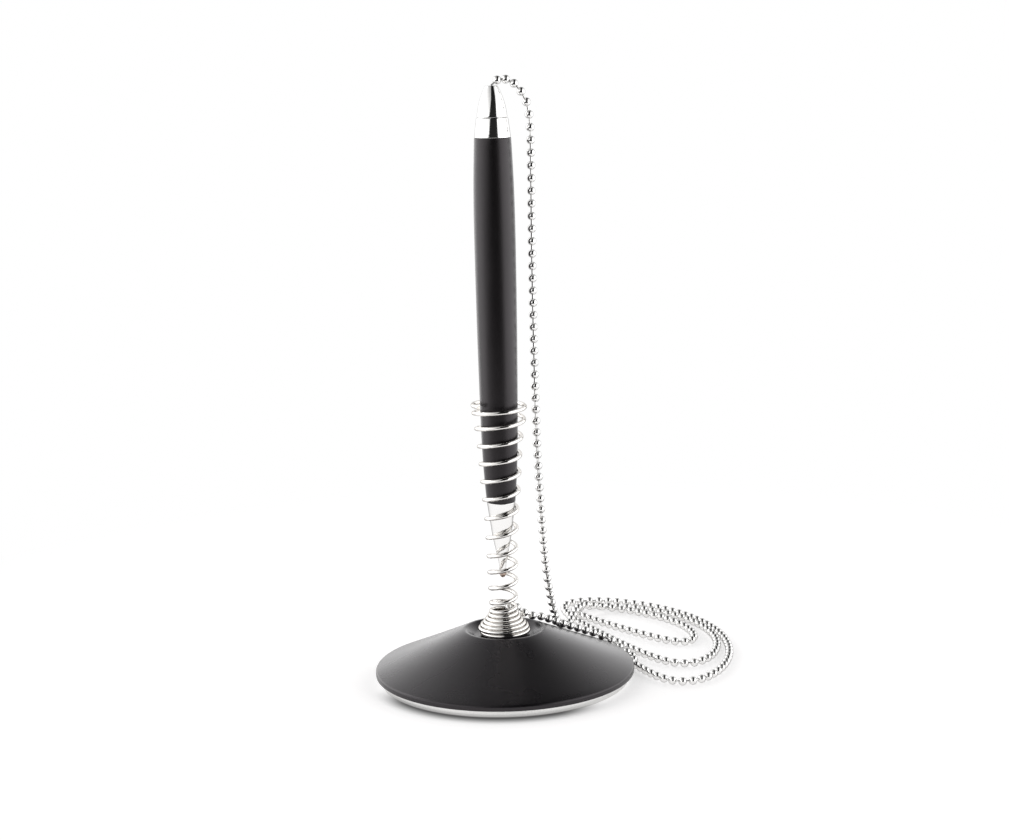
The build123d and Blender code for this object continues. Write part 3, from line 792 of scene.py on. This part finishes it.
return_route = [
    loop_out,
    loop_out + loop_way(LAST_TURN) * LOOP_RUN,
    (38.9, 12.0, 1.2),
    (37.6, 16.4, 1.4),
    (35.0, 20.0, 2.3),
    (31.6, 22.4, 4.5),
    (28.0, 22.2, 6.3),
    (24.0, 19.4, 8.4),
    (19.0, 15.3, 11.2),
    (14.9, 11.7, 13.75),
    (11.6, 8.6, 15.9),
    (9.4, 6.9, 16.9),
    (7.5, 5.7, 17.3),
    (6.1, 4.8, 18.3),
    (4.8, 3.9, 19.7),
    (3.6, 3.0, 20.9),
    (2.68, 2.25, 21.1),
    held_bead,
]

# Pitch of the beads by share of a stretch's length. The chain's own weight draws its beads apart
# near the top, and the bend over the tail is slack
HANGING_PITCH = [(0, 2.45), (0.03, 2.5), (0.09, 3.5), (0.35, 3.5), (1, 3.28)]
LEADING_PITCH = [(0, 3.25), (1, 3.25)]
LOOPED_PITCH = [(0, 3.05), (1, 3.05)]
HOMING_PITCH = [(0, 3.1), (1, 3.2)]
bead_shape = bpy.data.objects.new("bead_shape", bead_mesh())
threading = chain_builder(bead_shape)
hanging, hanging_line, hanging_length = thread(
    "chain_hanging", drop_route, HANGING_PITCH, threading, first=0.9
)
leading, leading_line, leading_length = thread("chain_leading", lead_route, LEADING_PITCH, threading)
looped, looped_line, looped_length = thread("chain_looped", loop_route, LOOPED_PITCH, threading)
homing, homing_line, homing_length = thread(
    "chain_homing", return_route, HOMING_PITCH, threading, last=0.0
)

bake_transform(hanging)
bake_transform(leading)
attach(looped, "base")
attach(homing, "base")
for piece, nodes, line, length, lay in [
    (hanging, ["chain_drop"], hanging_line, hanging_length, "hanging"),
    (leading, ["chain_lead"], leading_line, leading_length, "loose"),
    (looped, ["chain_loops"], looped_line, looped_length, "coiled"),
    (homing, ["chain_return", "chain_base_end"], homing_line, homing_length, "loose"),
]:
    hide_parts(*nodes)


# Floor, light and camera. The floor has a light of its own, fades to the page's white, and has a painted
# shadow in one direction between two distances from the middle of the base
WHITE = (1.0, 1.0, 1.0, 1.0)
FLOOR_LIFT = 0.53
FADE_START, FADE_END = 0.14, 0.24
PAINTED_SHADE_WAY = (-0.25, -0.97, 0.0)
PAINTED_SHADE_START, PAINTED_SHADE_END = 0.0345, 0.0405
PAINTED_SHADE_DEPTH = 0.85


def lit_floor():
    """White table top that fades to plain white away from the object.

    It keeps the object's shadow, and has a painted shadow, a dim band, under the front edge of the base.
    """
    material = bpy.data.materials.new("white_table")
    material.use_nodes = True
    tree = material.node_tree
    tree.nodes.clear()
    out = tree.nodes.new("ShaderNodeOutputMaterial")
    paper = add_node(tree, "ShaderNodeBsdfDiffuse", {"Color": (0.8, 0.8, 0.8, 1.0)})
    thin_paper = add_node(tree, "ShaderNodeBsdfDiffuse", {"Color": (0.66, 0.65, 0.65, 1.0)})
    lift = add_node(tree, "ShaderNodeEmission", {"Color": WHITE, "Strength": FLOOR_LIFT})
    near = add_node(tree, "ShaderNodeAddShader", {0: thin_paper.outputs[0], 1: lift.outputs[0]})
    far = add_node(tree, "ShaderNodeEmission", {"Color": WHITE, "Strength": 1.0})
    place = tree.nodes.new("ShaderNodeTexCoord").outputs["Object"]
    away = add_node(tree, "ShaderNodeVectorMath", {0: place}, operation="LENGTH").outputs["Value"]
    fade = ranged(tree, away, FADE_START, FADE_END, 0.0, 1.0, "SMOOTHSTEP")
    seen = add_node(tree, "ShaderNodeMixShader", {0: fade, 1: near.outputs[0], 2: far.outputs[0]})
    # Painted shadow: the floor is mixed towards black in a band under the front edge of the base
    spot = tree.nodes.new("ShaderNodeNewGeometry").outputs["Position"]
    reach = add_node(tree, "ShaderNodeVectorMath", {0: spot}, operation="LENGTH").outputs["Value"]
    heading = add_node(tree, "ShaderNodeVectorMath", {0: spot}, operation="NORMALIZE").outputs["Vector"]
    facing = add_node(
        tree, "ShaderNodeVectorMath", {0: heading, 1: PAINTED_SHADE_WAY}, operation="DOT_PRODUCT"
    ).outputs["Value"]
    in_front = ranged(tree, facing, 0.4, 0.8, 0.0, PAINTED_SHADE_DEPTH, "SMOOTHSTEP")
    under_edge = ranged(tree, reach, PAINTED_SHADE_START, PAINTED_SHADE_END, 1.0, 0.0, "SMOOTHSTEP")
    painted_shade = calculate(tree, "MULTIPLY", in_front, under_edge)
    dim = add_node(tree, "ShaderNodeEmission", {"Color": WHITE, "Strength": 0.0})
    seen = add_node(tree, "ShaderNodeMixShader", {0: painted_shade, 1: seen.outputs[0], 2: dim.outputs[0]})
    rays = tree.nodes.new("ShaderNodeLightPath")
    looked_at = calculate(tree, "MAXIMUM", rays.outputs["Is Camera Ray"], rays.outputs["Is Glossy Ray"])
    mix = add_node(tree, "ShaderNodeMixShader", {0: looked_at, 1: paper.outputs[0], 2: seen.outputs[0]})
    tree.links.new(mix.outputs[0], out.inputs["Surface"])
    return material


disc = bmesh.new()
bmesh.ops.create_circle(disc, cap_ends=True, segments=96, radius=0.3)
floor_mesh = bpy.data.meshes.new("table_top")
disc.to_mesh(floor_mesh)
disc.free()
floor_mesh.materials.append(lit_floor())
table_top = add_piece("table_top", floor_mesh)
table_top.location = (0.015, 0.02, -0.0001)


# The tent's dark slot, by height: its middle and its half width, and what is left of the light in it
SLOT_MIDDLE = [(-0.15, -0.115), (0.1, 0.1), (0.6, 0.23), (0.95, 0.18)]
SLOT_WIDTH = [(-0.15, 0.79), (0.1, 0.47), (0.6, 0.33), (0.95, 0.26)]
SLOT_LIGHT = 0.02
SLOT_EDGE = 0.05
ROOF_LIGHT = 0.28
LEFT_WING = 2.15
RIGHT_WING = 1.4
BACKDROP = 1.145
BACKDROP_TURN = 0.268


def studio_tent():
    """White tent, dim at the very top, with a dark slot that runs from the front up over the object."""
    world = bpy.data.worlds.new("white_tent")
    world.use_nodes = True
    tree = world.node_tree
    tree.nodes.clear()
    out = tree.nodes.new("ShaderNodeOutputWorld")
    place = tree.nodes.new("ShaderNodeTexCoord")
    parts = add_node(tree, "ShaderNodeSeparateXYZ", {"Vector": place.outputs["Generated"]})
    x, y, z = parts.outputs["X"], parts.outputs["Y"], parts.outputs["Z"]
    middle = stepped(tree, z, SLOT_MIDDLE)
    width = stepped(tree, z, SLOT_WIDTH)
    aside = calculate(tree, "SUBTRACT", x, middle)
    off_middle = add_node(tree, "ShaderNodeMath", {0: aside}, operation="ABSOLUTE").outputs[0]
    past_edge = calculate(tree, "SUBTRACT", off_middle, width)
    beside = ranged(tree, past_edge, -SLOT_EDGE, SLOT_EDGE, SLOT_LIGHT, 1.0, "SMOOTHSTEP")
    behind = ranged(tree, y, 0.476, 0.676, SLOT_LIGHT, 1.0, "SMOOTHSTEP")
    cloth = calculate(tree, "MAXIMUM", beside, behind)
    roof = ranged(tree, z, 0.0, 1.29, 1.0, ROOF_LIGHT, "SMOOTHSTEP")
    left = ranged(tree, x, -0.3, -1.0, 1.0, LEFT_WING)
    right = ranged(tree, x, 0.3, 1.0, 0.0, RIGHT_WING)
    wings = calculate(tree, "ADD", left, right)
    left_back = calculate(tree, "SUBTRACT", y, calculate(tree, "MULTIPLY", x, BACKDROP_TURN))
    backdrop = ranged(tree, left_back, 0.5, 1.13, 0.0, BACKDROP)
    walls = calculate(tree, "MULTIPLY", cloth, calculate(tree, "ADD", wings, backdrop))
    white = calculate(tree, "MULTIPLY", walls, roof)
    tent = add_node(tree, "ShaderNodeBackground", {"Color": white, "Strength": 1.0})
    page = add_node(tree, "ShaderNodeBackground", {"Color": WHITE, "Strength": 1.0})
    rays = tree.nodes.new("ShaderNodeLightPath")
    choice = add_node(
        tree,
        "ShaderNodeMixShader",
        {0: rays.outputs["Is Camera Ray"], 1: tent.outputs[0], 2: page.outputs[0]},
    )
    tree.links.new(choice.outputs[0], out.inputs["Surface"])
    return world


bpy.context.scene.world = studio_tent()


LAMP_PLACE = Vector((-0.8, 0.35, 0.7))
LAMP_AIM = Vector((0.0, 0.0, 0.05))
lamp = bpy.data.lights.new("left_box", "AREA")
lamp.shape = "RECTANGLE"
lamp.size, lamp.size_y = 0.6, 0.6
lamp.energy = 1.5
left_box = add_piece("left_box", lamp)
left_box.location = LAMP_PLACE
left_box.rotation_euler = (LAMP_AIM - LAMP_PLACE).to_track_quat("-Z", "Y").to_euler()

# Degrees that the camera looks down, turns to the side and rolls
CAMERA_DOWN = 10.77
CAMERA_YAW = -0.149
CAMERA_ROLL = -1.33
camera_data = bpy.data.cameras.new("front_camera")
camera_data.sensor_width = 36.0
camera_data.lens = 73.87
camera_data.clip_end = 20.0
camera = add_piece("front_camera", camera_data)
camera.location = (0.0, -0.578, 0.1866)
aimed = Euler((math.radians(90 - CAMERA_DOWN), 0, math.radians(CAMERA_YAW)))
rolled = Euler((0, 0, math.radians(CAMERA_ROLL)))
camera.rotation_euler = (aimed.to_matrix() @ rolled.to_matrix()).to_euler()
bpy.context.scene.camera = camera
bpy.context.scene.view_settings.view_transform = "Standard"
